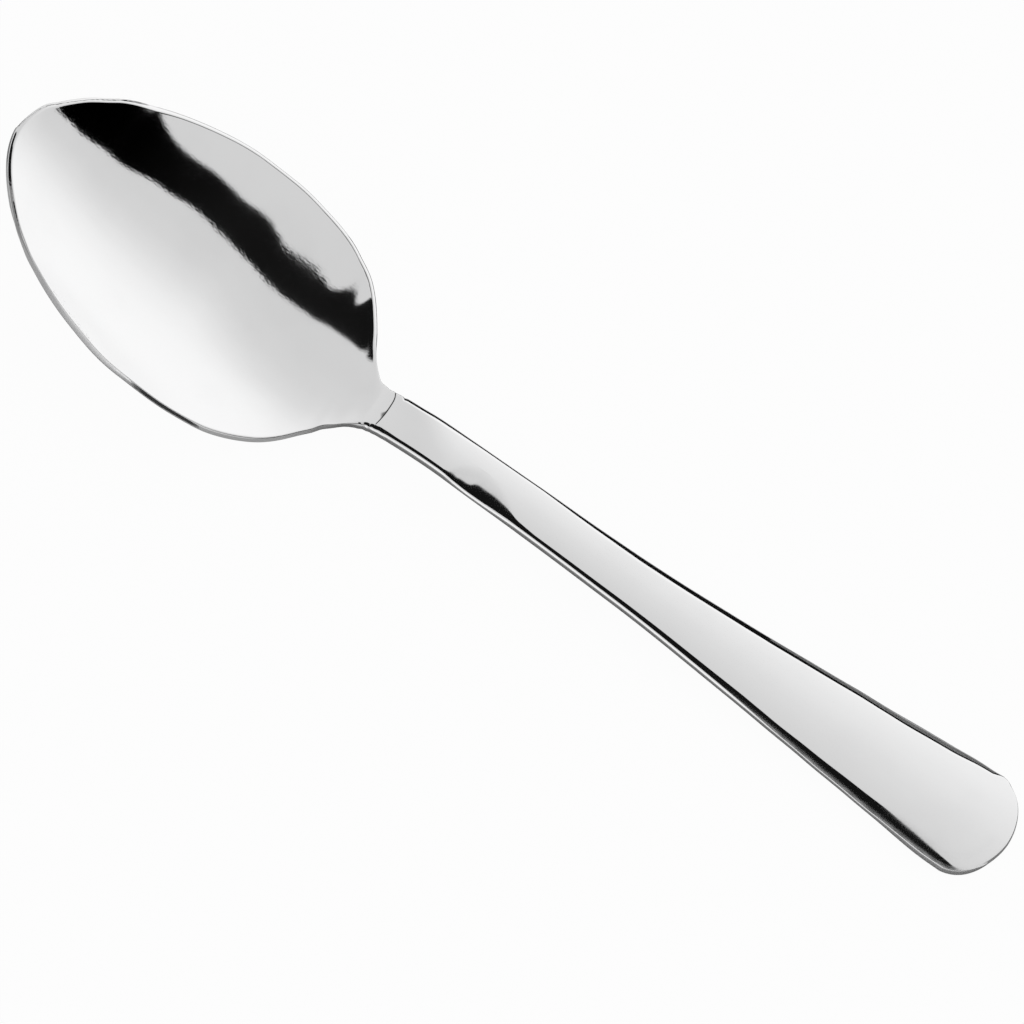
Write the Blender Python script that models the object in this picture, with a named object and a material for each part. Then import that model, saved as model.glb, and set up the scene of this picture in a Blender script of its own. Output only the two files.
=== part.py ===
"""Serving spoon: a pressed steel bowl and a plain flared handle, joined across the neck.

Metres, +Z up. The spoon is laid out along +X from the bowl's tip, with the bowl's rim in the XY plane,
and an empty then lays it on a level surface: on the bowl's belly and on the end of the handle.
"""

import math

import bmesh
import bpy
import numpy as np
from mathutils import Euler, Vector

# Driving dimensions: plan view
OVERALL_LENGTH = 0.210  # tip to handle end
BOWL_LENGTH = 0.080  # tip to the seam in the neck
BOWL_WIDTH = 0.0508  # between the rim's upper edges
BOWL_WIDEST = 0.0380  # tip to the widest place
NECK_WIDTH = 0.0083
NECK_TAPER = 0.035  # growth of the handle's width from the seam on, for each unit of length
NECK_STUB = 0.0042  # from the end of the bowl's egg to the seam
HEEL_FILLET = 0.0050  # fillets at the heel start where the egg is this much wider than the neck
HANDLE_WIDTH = 0.0216  # at its widest, just before the rounded end
FLARE_AFTER = 0.020  # the sides start to swing out this far after the seam
FLARE_RUN = 0.076  # and have swung out after this length
END_ROUND = 0.013  # length of the handle's rounded end

# Driving dimensions: side view
BOWL_DEPTH = 0.0080  # rim to the inside floor
BOWL_DEEPEST = 0.037  # tip to the deepest place
HOLLOW_STOP = 0.0030  # the hollow runs out this far before the seam
NECK_STEP = 0.0028  # rise of the cranked neck
CRANK_BEFORE = 0.012  # the crank starts this far before the seam
CRANK_AFTER = 0.016  # and ends this far after it
HANDLE_SLOPE = 0.078  # rise of the straight handle from the rim plane, for each unit of length
BEND_BEFORE = 0.022  # the bend up to that slope starts this far before the seam
BEND_AFTER = 0.028  # and ends this far after it

# Driving dimensions: sections
BOWL_GAUGE = 0.0013
NECK_THICKNESS = 0.0027
END_THICKNESS = 0.0019
HEEL_TONGUE = 0.024  # length of the thickened tongue behind the heel
TONGUE_FADE = 0.009  # the tongue thins to the bowl's gauge over this width, each side of the neck
CROWN_SLOPE = 0.13  # slope of the handle's crowned face where it meets its edges
NECK_SHOULDER_WIDTH = 0.0010  # rounded shoulder along each long edge of the handle, at the neck
NECK_SHOULDER_DROP = 0.0007
END_SHOULDER_WIDTH = 0.0021  # and at the handle's end, where it has grown wider
END_SHOULDER_DROP = 0.0009
SHOULDER_RUN_IN = 0.010  # crown and shoulders rise from the flat neck over this length
EDGE_ROUND = 0.0002
SEAM_GAP = 0.0003

# Shape of the outlines: a power of 2 and a fullness of 0.5 make an ellipse
TIP_POWER, TIP_FULLNESS = 1.7, 0.545
HEEL_POWER = 3.85
END_POWER, END_FULLNESS = 3.1, 0.555
FLOOR_POWER, FLOOR_FADE = 2.2, 1.5
RIM_EASE = 0.1  # share by which the bowl's sections are flatter than parabolas at the rim

# Mesh
BOWL_ROWS, BOWL_COLUMNS = 36, 24
HANDLE_ROWS, HANDLE_COLUMNS = 44, 12
TIP_ARC = 0.3 * BOWL_WIDEST  # stretch of the tip that the bowl's first row follows
END_ARC = 0.55 * END_ROUND  # stretch of the end that the handle's last row follows
ROW_CROWDING = 0.6  # share by which the handle's rows close up towards its two ends
ROW_BULGE = 8  # higher keeps the handle's rows straight until nearer its end
SHOULDER_COLUMNS = 0.5  # share of the handle's columns that lie on its shoulders
ROUND_SEGMENTS = 2
SHARP_ANGLE = math.radians(40)
SHORT_STEP = 0.00005  # for measuring slopes

STEEL_COLOUR = (0.78, 0.78, 0.79, 1.0)
STEEL_ROUGHNESS = 0.12

MOST_TILT = math.radians(30)
HALVINGS = 50


def smooth_rise(t):
    """0 to 1 with level ends and no jump in curvature."""
    t = min(max(t, 0.0), 1.0)
    return t**3 * (10 - 15 * t + 6 * t * t)


def smooth_bend(t):
    """Level, then a bend over t = 0 to 1, then a straight line of slope 1 that aims back at t = 0.5."""
    if t <= 0:
        return 0.0
    return t**3 - t**4 / 2 if t < 1 else t - 0.5


def egg_half_width(x):
    """The bowl's egg: a rounded front to its tip and a straighter run down to the heel."""
    if x < BOWL_WIDEST:
        front = max(1 - ((BOWL_WIDEST - x) / BOWL_WIDEST) ** TIP_POWER, 0.0)
        return BOWL_WIDTH / 2 * front**TIP_FULLNESS
    heel = (x - BOWL_WIDEST) / (BOWL_LENGTH - NECK_STUB - BOWL_WIDEST)
    return BOWL_WIDTH / 2 * (1 - heel**HEEL_POWER)


def bowl_half_width(x):
    """The egg, with fillets at the heel that bring it to the neck's width."""
    egg = egg_half_width(x)
    if x < BOWL_WIDEST:
        return egg
    neck = NECK_WIDTH / 2
    fillet = max(HEEL_FILLET - abs(egg - neck), 0.0)
    return max(egg, neck) + fillet**2 / (4 * HEEL_FILLET)


def flare_half_width(x):
    """The handle's sides: a slight taper at the neck, then a straight flare."""
    flare = smooth_bend((x - BOWL_LENGTH - FLARE_AFTER) / FLARE_RUN)
    to_round = OVERALL_LENGTH - END_ROUND - BOWL_LENGTH
    full_flare = smooth_bend((to_round - FLARE_AFTER) / FLARE_RUN)
    growth = HANDLE_WIDTH - NECK_WIDTH - NECK_TAPER * to_round
    return (NECK_WIDTH + NECK_TAPER * (x - BOWL_LENGTH) + growth * flare / full_flare) / 2


def handle_half_width(x):
    """The flare, closed by the rounded end."""
    into_end = min(max(x - OVERALL_LENGTH + END_ROUND, 0.0) / END_ROUND, 1.0)
    return flare_half_width(x) * (1 - into_end**END_POWER) ** END_FULLNESS


def along_handle(x, at_neck, at_end):
    """A size that changes evenly from the seam to the handle's end."""
    return at_neck + (at_end - at_neck) * (x - BOWL_LENGTH) / (OVERALL_LENGTH - BOWL_LENGTH)


def edge_height(x):
    """Side view of the long edges: the level rim, the cranked neck and the straight handle."""
    bend = BEND_BEFORE + BEND_AFTER
    crank = CRANK_BEFORE + CRANK_AFTER
    straight = HANDLE_SLOPE * bend * smooth_bend((x - BOWL_LENGTH + BEND_BEFORE) / bend)
    return straight + NECK_STEP * smooth_rise((x - BOWL_LENGTH + CRANK_BEFORE) / crank)


def hollow_depth(x):
    """Depth of the bowl's floor below its edges, along the middle."""
    if x < BOWL_DEEPEST:
        return BOWL_DEPTH * (1 - ((BOWL_DEEPEST - x) / BOWL_DEEPEST) ** 2)
    run_out = (x - BOWL_DEEPEST) / (BOWL_LENGTH - HOLLOW_STOP - BOWL_DEEPEST)
    return BOWL_DEPTH * max(1 - run_out**FLOOR_POWER, 0.0) ** FLOOR_FADE


def share_across(y, half):
    """How far out y lies, from 0 in the middle to 1 on the outline."""
    return min(abs(y) / half, 1.0) if half > 0 else 1.0


def bowl_upper(x, y):
    """Inside of the bowl: every section across it hangs from the two edges, almost as a parabola."""
    across = share_across(y, bowl_half_width(x))
    hang = (1 - across**2) * (1 - RIM_EASE * across**2)
    return Vector((x, y, edge_height(x) - hollow_depth(x) * hang))


def bowl_normal(x, y):
    """Normal of the bowl's inside, from two short steps towards the middle of the bowl."""
    here = bowl_upper(x, y)
    along = bowl_upper(x + math.copysign(SHORT_STEP, BOWL_WIDEST - x), y) - here
    inward = bowl_upper(x, y - math.copysign(SHORT_STEP, y)) - here
    normal = along.cross(inward).normalized()
    return normal if normal.z > 0 else -normal


def bowl_gauge(x, y):
    """Sheet gauge, with the tongue behind the heel that thickens it to the neck."""
    along = smooth_rise((x - BOWL_LENGTH + HEEL_TONGUE) / HEEL_TONGUE)
    aside = 1 - smooth_rise((abs(y) - NECK_WIDTH / 2) / TONGUE_FADE)
    return BOWL_GAUGE + (NECK_THICKNESS - BOWL_GAUGE) * along * aside


def bowl_lower(x, y):
    """Outside of the bowl: the sheet's gauge measured square to the inside."""
    return bowl_upper(x, y) - bowl_gauge(x, y) * bowl_normal(x, y)


def handle_upper(x, y):
    """Crowned face with a quarter-round shoulder down each long edge, which runs out at the rounded end."""
    grown = smooth_rise((x - BOWL_LENGTH) / SHOULDER_RUN_IN)
    width = along_handle(x, NECK_SHOULDER_WIDTH, END_SHOULDER_WIDTH)
    drop = along_handle(x, NECK_SHOULDER_DROP, END_SHOULDER_DROP)
    side = flare_half_width(x)
    over = min(max(abs(y) - side + width, 0.0) / width, 1.0)
    crown = CROWN_SLOPE * side / 2 * (1 - share_across(y, side) ** 2)
    shoulder = drop * (1 - math.sqrt(1 - over**2))
    return Vector((x, y, edge_height(x) + grown * (crown - shoulder)))


def handle_lower(x, y):
    """Flat back: the edge line moved square to itself by the handle's thickness."""
    slope = (edge_height(x + SHORT_STEP) - edge_height(x - SHORT_STEP)) / (2 * SHORT_STEP)
    normal = Vector((-slope, 0, 1)).normalized()
    return Vector((x, y, edge_height(x))) - along_handle(x, NECK_THICKNESS, END_THICKNESS) * normal


def bowl_plan(along, across):
    """Blank of the bowl: rows that follow the tip at along = 0 and lie straight across at the seam."""
    arc_x = TIP_ARC * abs(across) ** (1 / TIP_FULLNESS)
    arc_y = math.copysign(bowl_half_width(arc_x), across)
    side = TIP_ARC + (BOWL_LENGTH - SEAM_GAP / 2 - TIP_ARC) * along
    bulge = 1 - along
    y = across * bowl_half_width(side) + bulge * (arc_y - across * bowl_half_width(TIP_ARC))
    return side + bulge * (arc_x - TIP_ARC), y


def handle_plan(along, across):
    """Blank of the handle: straight across at the seam, with rows that come to follow the rounded end."""
    seam = BOWL_LENGTH + SEAM_GAP / 2
    corner = OVERALL_LENGTH - END_ARC
    arc_x = OVERALL_LENGTH - END_ARC * abs(across) ** (1 / END_FULLNESS)
    arc_y = math.copysign(handle_half_width(arc_x), across)
    crowded = along - ROW_CROWDING * math.sin(math.tau * along) / math.tau
    side = seam + (corner - seam) * crowded
    half = handle_half_width(side)
    face = half - along_handle(side, NECK_SHOULDER_WIDTH, END_SHOULDER_WIDTH)
    outside = max(abs(across) - 1 + SHOULDER_COLUMNS, 0.0) / SHOULDER_COLUMNS
    inside = min(abs(across) / (1 - SHOULDER_COLUMNS), 1.0)
    y = math.copysign(face * inside + (half - face) * outside, across)
    bulge = crowded**ROW_BULGE
    return side + bulge * (arc_x - corner), y + bulge * (arc_y - y)


def pressed_sheet(name, rows, columns, plan, upper, lower, material):
    """One piece: a flat blank, doubled into an upper and a lower skin, and both pressed to shape."""
    bm = bmesh.new()
    bmesh.ops.create_grid(bm, x_segments=rows, y_segments=columns, size=1.0)
    for vert in bm.verts:
        vert.co.xy = plan((vert.co.x + 1) / 2, vert.co.y)
    blank = bm.verts[:]
    doubled = bmesh.ops.extrude_face_region(bm, geom=bm.faces[:])["geom"]
    at_seam = {vert for vert in bm.verts if abs(vert.co.x - BOWL_LENGTH) < SEAM_GAP}
    for vert in doubled:
        if isinstance(vert, bmesh.types.BMVert):
            vert.co = upper(vert.co.x, vert.co.y)
    for vert in blank:
        vert.co = lower(vert.co.x, vert.co.y)
    bmesh.ops.recalc_face_normals(bm, faces=bm.faces[:])
    sharp = [
        edge
        for edge in bm.edges
        if edge.calc_face_angle() > SHARP_ANGLE and not at_seam.issuperset(edge.verts)
    ]
    bmesh.ops.bevel(
        bm, geom=sharp, offset=EDGE_ROUND, segments=ROUND_SEGMENTS, profile=0.5, affect="EDGES", material=-1
    )
    mesh = bpy.data.meshes.new(name)
    bm.to_mesh(mesh)
    bm.free()
    mesh.materials.append(material)
    mesh.shade_smooth()
    mesh.set_sharp_from_angle(angle=SHARP_ANGLE)
    piece = bpy.data.objects.new(name, mesh)
    bpy.context.collection.objects.link(piece)
    return piece


def polished_steel():
    material = bpy.data.materials.new("polished_steel")
    material.use_nodes = True
    shader = material.node_tree.nodes["Principled BSDF"]
    shader.inputs["Base Color"].default_value = STEEL_COLOUR
    shader.inputs["Metallic"].default_value = 1.0
    shader.inputs["Roughness"].default_value = STEEL_ROUGHNESS
    return material


def points_of(piece):
    flat = np.empty(len(piece.data.vertices) * 3)
    piece.data.vertices.foreach_get("co", flat)
    return flat.reshape(-1, 3)


def turned(points, tilt):
    return points @ np.array(Euler((0, tilt, 0)).to_matrix()).T


def resting_tilt(bowl_points, handle_points):
    """Turn about Y that brings the bowl's belly and the handle's end to one level."""
    low, high = -MOST_TILT, MOST_TILT
    for _ in range(HALVINGS):
        tilt = (low + high) / 2
        if turned(handle_points, tilt)[:, 2].min() > turned(bowl_points, tilt)[:, 2].min():
            low = tilt
        else:
            high = tilt
    return tilt


def lay_down(bowl, handle):
    """Parent both pieces to an empty that lays the spoon on z = 0, centred over the origin."""
    bowl_points = points_of(bowl)
    handle_points = points_of(handle)
    tilt = resting_tilt(bowl_points, handle_points)
    laid = turned(np.vstack([bowl_points, handle_points]), tilt)
    middle = (laid.min(axis=0) + laid.max(axis=0)) / 2
    spoon = bpy.data.objects.new("spoon", None)
    bpy.context.collection.objects.link(spoon)
    spoon.rotation_euler = (0, tilt, 0)
    spoon.location = (-middle[0], -middle[1], -laid[:, 2].min())
    for piece in (bowl, handle):
        piece.parent = spoon


def main():
    for old in list(bpy.data.objects):
        bpy.data.objects.remove(old, do_unlink=True)
    steel = polished_steel()
    bowl = pressed_sheet("bowl", BOWL_ROWS, BOWL_COLUMNS, bowl_plan, bowl_upper, bowl_lower, steel)
    handle = pressed_sheet(
        "handle", HANDLE_ROWS, HANDLE_COLUMNS, handle_plan, handle_upper, handle_lower, steel
    )
    lay_down(bowl, handle)


main()
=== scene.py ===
# %% [markdown]
# # A serving spoon in polished steel
# The real spoon is two strokes of a press and a lot of polishing: an egg-shaped bowl, and a flat handle
# that flares towards its rounded end, met across the neck in one fine seam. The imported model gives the
# size and the place of both. Here they are pressed again from a far finer blank, because a mirror shows
# every facet, and then polished, lit in a white tent and photographed.

import math

import bmesh
import bpy
import numpy as np
from mathutils import Matrix, Vector
from mathutils.kdtree import KDTree


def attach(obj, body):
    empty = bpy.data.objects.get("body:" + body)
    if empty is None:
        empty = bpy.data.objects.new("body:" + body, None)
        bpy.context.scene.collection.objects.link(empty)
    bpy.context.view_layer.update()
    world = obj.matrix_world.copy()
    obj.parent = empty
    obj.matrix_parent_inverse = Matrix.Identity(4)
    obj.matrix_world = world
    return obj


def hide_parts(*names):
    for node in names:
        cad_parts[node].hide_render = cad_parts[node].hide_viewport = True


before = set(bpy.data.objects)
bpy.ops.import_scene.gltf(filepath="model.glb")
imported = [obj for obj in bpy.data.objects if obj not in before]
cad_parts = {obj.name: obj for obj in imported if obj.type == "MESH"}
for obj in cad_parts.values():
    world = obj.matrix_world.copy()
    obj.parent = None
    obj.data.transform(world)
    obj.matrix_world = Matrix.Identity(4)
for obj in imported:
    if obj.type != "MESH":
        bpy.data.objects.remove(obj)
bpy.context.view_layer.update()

# %% [markdown]
# ## The camera
# The spoon lies along X. The photograph looks down on it from its near side with a long lens, and the
# frame is turned so that the handle runs down to the right. A camera could be aimed with a constraint,
# but a turned frame is easier to say with three axes: where right, up and back point in the picture.

# %% Set up the camera
VIEW_TURN = math.radians(-4.124)  # round the spoon
VIEW_HEIGHT = math.radians(60.346)  # above the table
VIEW_ROLL = math.radians(37.926)  # turn of the frame
VIEW_DISTANCE = 1.3
VIEW_AIM = Vector((0.001717, -0.002627, 0.005367))
SENSOR = 36.0
LENS = 266.61


def photo_camera():
    outwards = math.cos(VIEW_HEIGHT)
    back = Vector((math.sin(VIEW_TURN) * outwards, -math.cos(VIEW_TURN) * outwards, math.sin(VIEW_HEIGHT)))
    level = Vector((math.cos(VIEW_TURN), math.sin(VIEW_TURN), 0))
    right = math.cos(VIEW_ROLL) * level + math.sin(VIEW_ROLL) * back.cross(level)
    axes = Matrix((right, back.cross(right), back)).transposed()
    data = bpy.data.cameras.new("photo_camera")
    data.sensor_width = SENSOR
    data.lens = LENS
    camera = bpy.data.objects.new("photo_camera", data)
    bpy.context.collection.objects.link(camera)
    camera.matrix_world = Matrix.Translation(VIEW_AIM + VIEW_DISTANCE * back) @ axes.to_4x4()
    bpy.context.scene.camera = camera


photo_camera()
bpy.context.scene.view_settings.view_transform = "Standard"
print("camera at", [round(c, 3) for c in bpy.context.scene.camera.location])

# %% [markdown]
# ## The lines of the spoon
# A spoon is drawn with a few curves: its outline from above, the line of its edges from the side, and the
# depth of the hollow along the middle. Each is a plain function of x, the distance from the tip in
# metres, with the rim of the bowl at z = 0, and takes a whole array of places at once. They are the
# curves of the part's own source with a few numbers refined, so the fine pieces stay where the CAD pieces
# are. A spoon that is worked by hand is not the same on both sides, so small corrections at a few
# stations, measured on the photograph's outline, widen or narrow each side.

# %% Sizes of the spoon
LENGTH = 0.20960
SEAM_AT = 0.080
SEAM_GAP = 0.00009

BOWL_WIDTH = 0.0508
BOWL_WIDEST = 0.0380
BOWL_DEPTH = 0.0080
BOWL_DEEPEST = 0.037
HOLLOW_STOP = 0.0030
TIP_POWER, TIP_FULLNESS = 1.7, 0.545
HEEL_POWER = 3.85
NEAR_FILLET, FAR_FILLET = 0.0125, 0.0062  # the heel is filleted longer on its near side
FLOOR_POWER, FLOOR_FADE = 2.2, 1.5

NECK_WIDTH = 0.0083
NECK_TAPER = 0.035
NECK_STUB = 0.0042
NECK_STEP = 0.0028
CRANK_BEFORE, CRANK_AFTER = 0.012, 0.016
BEND_BEFORE, BEND_AFTER = 0.022, 0.028

HANDLE_WIDTH = 0.0216
HANDLE_SLOPE = 0.078
FLARE_AFTER, FLARE_RUN = 0.020, 0.076
END_ROUND = 0.013
END_POWER, END_FULLNESS = 3.2, 0.555

BLUNT = 0.012  # the sides are left as drawn where the egg closes towards its tip
EGG_AT = (
    *(0.001, 0.004, 0.009, 0.013, 0.018, 0.026, 0.036),
    *(0.044, 0.054, 0.060, 0.066, 0.070, 0.072, 0.074),
)
NEAR_EGG = (  # in mm more than drawn, at those stations
    *(0.0, 0.0, 0.15, 0.0, -0.23, -0.18, 0.1),
    *(0.16, -0.1, -0.28, -0.03, -0.4, -1.5, -0.9),
)
FAR_EGG = (
    *(0.9, -0.35, -0.08, 0.3, -0.05, -0.1, 0.02),
    *(0.05, -0.42, -0.27, 0.42, 0.25, -0.05, 0.0),
)
SIDE_AT = (
    *(0.0745, 0.0775, 0.0790, 0.0801, 0.0813, 0.0827, 0.085, 0.095),  # the neck
    *(0.110, 0.122, 0.135, 0.150, 0.162, 0.172, 0.182, 0.192, 0.200),  # the handle
)
NEAR_SIDE = (
    *(1.0, 1.45, 1.05, 0.84, 0.7, 0.61, 0.6, 0.56),
    *(0.46, 0.45, 0.36, 0.43, 0.36, 0.2, 0.0, -0.28, -0.06),
)
FAR_SIDE = (
    *(0.0, -0.4, -0.55, -0.44, -0.38, 0.06, 0.0, -0.2),
    *(-0.2, -0.28, -0.3, -0.2, -0.17, -0.26, -0.53, -0.26, 0.2),
)
print("spoon of", LENGTH * 1000, "mm, with its seam at", SEAM_AT * 1000, "mm")


# %% Draw the curves
def smooth_rise(t):
    """0 to 1 with level ends and no jump in curvature."""
    t = np.clip(t, 0.0, 1.0)
    return t**3 * (10 - 15 * t + 6 * t * t)


def smooth_bend(t):
    """Level, then a bend over t = 0 to 1, then a straight line of slope 1."""
    bend = np.clip(t, 0.0, 1.0)
    return bend**3 - bend**4 / 2 + np.maximum(t - 1, 0.0)


def through_stations(x, at, values):
    """A smooth curve through a few stations, level at each of them."""
    spot = np.interp(x, at, range(len(at)))
    before = np.clip(np.floor(spot).astype(int), 0, len(at) - 2)
    values = np.array(values)
    return values[before] + (values[before + 1] - values[before]) * smooth_rise(spot - before)


def worked_more(x, side, at, near, far):
    """How much wider than drawn the worked spoon is. The near side is where side is negative."""
    return np.where(side < 0, through_stations(x, at, near), through_stations(x, at, far)) / 1000


def side_more(x, side):
    return worked_more(x, side, SIDE_AT, NEAR_SIDE, FAR_SIDE)


def egg_half_width(x):
    """Rounded front to the tip, straighter run down to the heel."""
    front = np.clip((BOWL_WIDEST - x) / BOWL_WIDEST, 0.0, 1.0)
    heel = np.maximum((x - BOWL_WIDEST) / (SEAM_AT - NECK_STUB - BOWL_WIDEST), 0.0)
    return BOWL_WIDTH / 2 * ((1 - front**TIP_POWER) ** TIP_FULLNESS - heel**HEEL_POWER)


def bowl_half_width(x, side):
    """The egg, with a fillet at the heel that brings it to the neck's width."""
    egg = egg_half_width(x)
    egg = egg + worked_more(x, side, EGG_AT, NEAR_EGG, FAR_EGG) * np.clip(egg / BLUNT, 0.0, 1.0)
    neck = np.where(x < BOWL_WIDEST, egg, NECK_WIDTH / 2 + side_more(x, side))
    reach = np.where(side < 0, NEAR_FILLET, FAR_FILLET)
    fillet = np.where(x < BOWL_WIDEST, 0.0, np.maximum(reach - np.abs(egg - neck), 0.0))
    return np.maximum(egg, neck) + fillet**2 / (4 * reach)


def flare_half_width(x):
    """Sides of the handle as drawn: a slight taper at the neck, then a straight flare."""
    flare = smooth_bend((x - SEAM_AT - FLARE_AFTER) / FLARE_RUN)
    to_round = LENGTH - END_ROUND - SEAM_AT
    full_flare = smooth_bend((to_round - FLARE_AFTER) / FLARE_RUN)
    growth = HANDLE_WIDTH - NECK_WIDTH - NECK_TAPER * to_round
    return (NECK_WIDTH + NECK_TAPER * (x - SEAM_AT) + growth * flare / full_flare) / 2


def handle_half_width(x, side):
    """The flare as worked, closed by the rounded end."""
    into_end = np.clip((x - LENGTH + END_ROUND) / END_ROUND, 0.0, 1.0)
    return (flare_half_width(x) + side_more(x, side)) * (1 - into_end**END_POWER) ** END_FULLNESS


def edge_height(x):
    """Side view of the long edges: level rim, cranked neck, straight handle."""
    bend = BEND_BEFORE + BEND_AFTER
    crank = CRANK_BEFORE + CRANK_AFTER
    straight = HANDLE_SLOPE * bend * smooth_bend((x - SEAM_AT + BEND_BEFORE) / bend)
    return straight + NECK_STEP * smooth_rise((x - SEAM_AT + CRANK_BEFORE) / crank)


def hollow_depth(x):
    """Depth of the bowl's floor below its edges, along the middle."""
    front = np.clip((BOWL_DEEPEST - x) / BOWL_DEEPEST, 0.0, 1.0)
    run_out = np.clip((x - BOWL_DEEPEST) / (SEAM_AT - HOLLOW_STOP - BOWL_DEEPEST), 0.0, 1.0)
    return BOWL_DEPTH * (1 - front**2) * (1 - run_out**FLOOR_POWER) ** FLOOR_FADE


print("widest", round(float(bowl_half_width(BOWL_WIDEST, 1)) * 2000, 1), "mm")

# %% [markdown]
# ## Edges that are worked by hand
# After the press, the edges of the handle are rolled over on a belt. A rolled edge is a quarter of a
# circle, so how far it has fallen depends only on the distance from the outline. A bevel modifier could
# round the edges too, but with one radius everywhere, and the real edges are crisper towards the end.

# %% Rolled edges
EDGE_ROLL, END_ROLL = 0.0004, 0.00016  # radius of the rolled upper edge of the handle, and at its end
END_ROLL_FROM, END_ROLL_RUN = 0.200, 0.008
CRISP_ROLL = 0.00012  # the near edge is crisper towards the end
CRISP_FROM, CRISP_RUN = 0.150, 0.020
BACK_ROLL, END_BACK_ROLL = 0.0011, 0.0003  # the lower edge, and at the end
BACK_ROLL_FROM, BACK_ROLL_RUN = 0.182, 0.016


def edge_roll(x, y):
    crisp = np.where(y < 0, smooth_rise((x - CRISP_FROM) / CRISP_RUN), 0.0)
    roll = EDGE_ROLL + (CRISP_ROLL - EDGE_ROLL) * crisp
    return roll + (END_ROLL - roll) * smooth_rise((x - END_ROLL_FROM) / END_ROLL_RUN)


def back_roll(x):
    return BACK_ROLL + (END_BACK_ROLL - BACK_ROLL) * smooth_rise((x - BACK_ROLL_FROM) / BACK_ROLL_RUN)


def roll_drop(distance, radius):
    """How far a rolled edge has fallen at a distance from the outline."""
    left = 1 - np.clip(distance / radius, 0.0, 1.0)
    return radius * (1 - np.sqrt(1 - left**2))


print("edges rolled to", EDGE_ROLL * 1000, "mm")

# %% [markdown]
# The long edges also get a bevel. It widens towards the end of the handle and has a hand-ground spot near
# the neck, so its width is read from a few stations. Its inner line is soft where it is wide. The end of
# the handle has a short steep chamfer instead, which runs out on the near side.

# %% Bevels of the handle
NEAR_SLOPE_AT = (0.0765, 0.0775, 0.079, 0.082, 0.088, 0.094)
NEAR_SLOPE = (0.38, 0.36, 0.275, 0.245, 0.275, 0.34)  # fall of the near bevel, for each unit of width
FAR_SLOPE = 0.50
FAR_BEND = 0.16  # the far bevel is rounded: so much steeper at its outer line
CROWN_SLOPE = 0.17  # slope of the crowned face where it meets the bevels
CROWN_RUN_IN = 0.010  # the crown rises from the flat neck over this length
NEAR_SOFTNESS, FAR_SOFTNESS = 0.00006, 0.00022
WIDE_BEVEL, WIDE_SOFTNESS = 0.0009, 0.55  # a bevel wider than this is softer by that share of the rest
SOFT_UNTIL, SOFT_FROM, SOFT_RUN = 0.125, 0.184, 0.010  # but not along the middle of the handle
BEVEL_LEAST = 0.0002  # a narrower bevel is shallower too
NEAR_BEVEL_AT = (
    *(0.0755, 0.0785, 0.0800, 0.0835, 0.0932),  # the neck
    *(0.0955, 0.0985, 0.102, 0.105, 0.108),  # the ground spot
    *(0.112, 0.135, 0.150, 0.165, 0.180, 0.198),  # the handle
)
NEAR_BEVEL = (  # in mm, at those stations
    *(0.0, 0.6, 0.75, 0.55, 0.5),
    *(2.6, 3.75, 3.15, 2.1, 0.85),
    *(0.55, 0.7, 0.88, 1.2, 1.6, 2.3),
)
FAR_BEVEL_AT = (
    *(0.0805, 0.0809, 0.0895, 0.097, 0.109, 0.116),
    *(0.130, 0.155, 0.165, 0.180, 0.190, 0.2012, 0.204),
)
FAR_BEVEL = (
    *(0.0, 0.66, 0.82, 0.48, 0.43, 0.75),
    *(1.28, 1.28, 1.18, 0.9, 1.15, 1.1, 0.0),
)


def bevel_width(x, y):
    """Width of the bevel at x, on the side that y lies on."""
    near = np.interp(x, NEAR_BEVEL_AT, NEAR_BEVEL)
    far = np.interp(x, FAR_BEVEL_AT, FAR_BEVEL)
    return np.where(y < 0, near, far) / 1000


def eased(over, softness):
    """0 below zero and the value itself above it, with a soft corner between."""
    corner = np.clip(over + softness, 0.0, 2 * softness) ** 2 / (4 * softness)
    return corner + np.maximum(over - softness, 0.0)


def soft_share(x):
    return np.where(x < SOFT_UNTIL, 1.0, smooth_rise((x - SOFT_FROM) / SOFT_RUN))


def crown_grown(x):
    return smooth_rise((x - SEAM_AT) / CROWN_RUN_IN)


def bevel_drop(x, y, inside):
    """How far the bevel has fallen at a distance inside the outline."""
    width = bevel_width(x, y)
    fall = np.where(y < 0, np.interp(x, NEAR_SLOPE_AT, NEAR_SLOPE), FAR_SLOPE)
    slope = fall - CROWN_SLOPE * crown_grown(x)
    softness = np.where(y < 0, NEAR_SOFTNESS, FAR_SOFTNESS)
    softness = softness + WIDE_SOFTNESS * soft_share(x) * np.maximum(width - WIDE_BEVEL, 0.0)
    rolled = np.where(y < 0, edge_roll(np.minimum(x, END_ROLL_FROM), y), EDGE_ROLL)
    over = eased(rolled + width - inside, softness)
    bend = np.where(y < 0, 0.0, FAR_BEND / 2) * over / (rolled + width)
    return np.minimum(width / BEVEL_LEAST, 1.0) * (slope + bend) * over


print("near bevel up to", max(NEAR_BEVEL), "mm wide")

# %% Chamfer of the end
END_CHAMFER, CHAMFER_FALL = 0.0004, 1.7  # its width, and its fall for each unit of it
CHAMFER_FROM, CHAMFER_RUN = 0.2035, 0.003
CHAMFER_SIDE, SIDE_RUN = -0.0075, 0.004  # where it runs out


def chamfer_drop(x, y, distance):
    at_end = smooth_rise((x - CHAMFER_FROM) / CHAMFER_RUN)
    share = at_end * smooth_rise((y - CHAMFER_SIDE) / SIDE_RUN)
    return CHAMFER_FALL * share * eased(END_CHAMFER - distance, NEAR_SOFTNESS)


print("chamfer", END_CHAMFER * 1000, "mm wide")

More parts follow.
